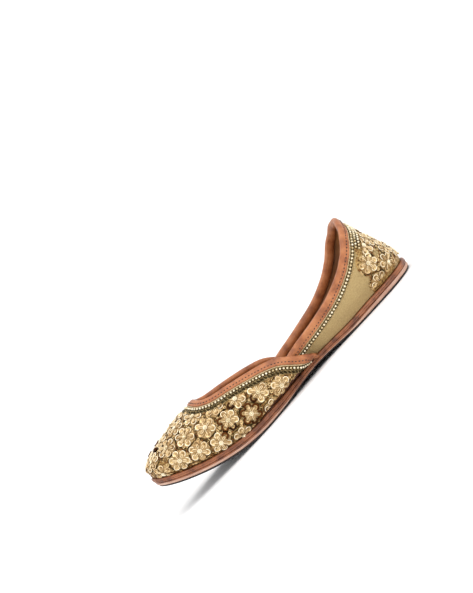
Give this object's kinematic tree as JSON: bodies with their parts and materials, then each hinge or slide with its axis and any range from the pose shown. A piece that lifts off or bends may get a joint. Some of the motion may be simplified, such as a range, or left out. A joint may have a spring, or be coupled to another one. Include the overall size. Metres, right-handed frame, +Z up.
{
  "type": "mojari shoe",
  "caption": "Flat slip-on mojari shoe: hollow embroidered brocade upper with bound throat and collar on a stacked leather sole with a low toe spring.",
  "frame": {"origin": "on the floor under the middle of the shoe's length and width", "axes": "+X towards the toe, +Y towards the wearer's left, +Z up"},
  "size_m": [0.251, 0.0804, 0.0668],
  "materials": {
    "rubber": "matte",
    "sole_leather": "satin",
    "rand_leather": "satin",
    "lining": "satin",
    "brocade": "metallic thread",
    "tissue": "metallic thread",
    "binding": "satin",
    "patch": "matte"
  },
  "bodies": {
    "root": {"rubber_outsole": "rubber", "leather_sole": "sole_leather", "rand_midsole": "rand_leather", "insole": "lining", "vamp": "brocade", "quarter": "tissue", "vamp_binding": "binding", "quarter_binding": "binding", "flap_left": "lining", "flap_right": "lining", "waist_patch": "patch"}
  },
  "joints": []
}
